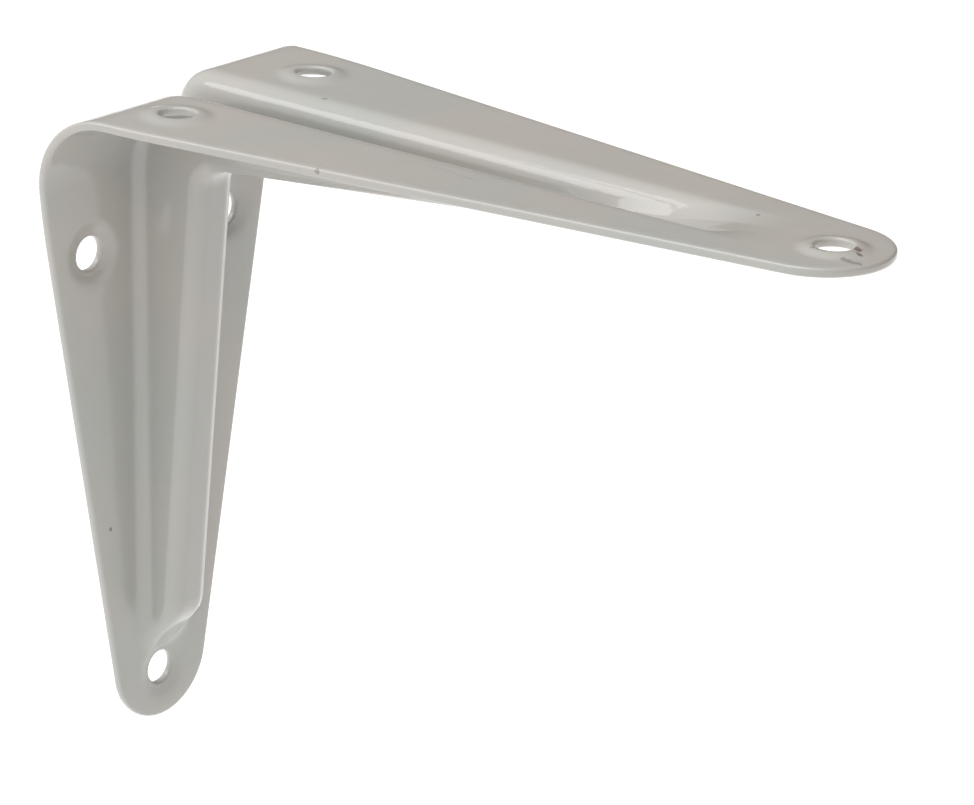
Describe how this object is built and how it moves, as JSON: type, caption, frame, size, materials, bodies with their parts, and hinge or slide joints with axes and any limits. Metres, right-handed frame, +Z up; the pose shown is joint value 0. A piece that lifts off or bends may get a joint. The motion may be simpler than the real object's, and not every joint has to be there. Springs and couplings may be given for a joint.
{
  "type": "shelf bracket",
  "caption": "Pressed steel shelf bracket: one folded sheet with two tapering arms at a right angle, stiffened by a channel that runs over the corner and fades out towards the round tips.",
  "frame": {"origin": "on the wall plane, midway between the two upper wall screw holes", "axes": "+X out from the wall along the shelf arm, +Z up the wall towards the shelf, Y across the bracket"},
  "size_m": [0.1255, 0.0484, 0.1005],
  "materials": {
    "enamel": "glossy pale warm grey enamel"
  },
  "bodies": {
    "root": {"bracket": "enamel"}
  },
  "joints": []
}
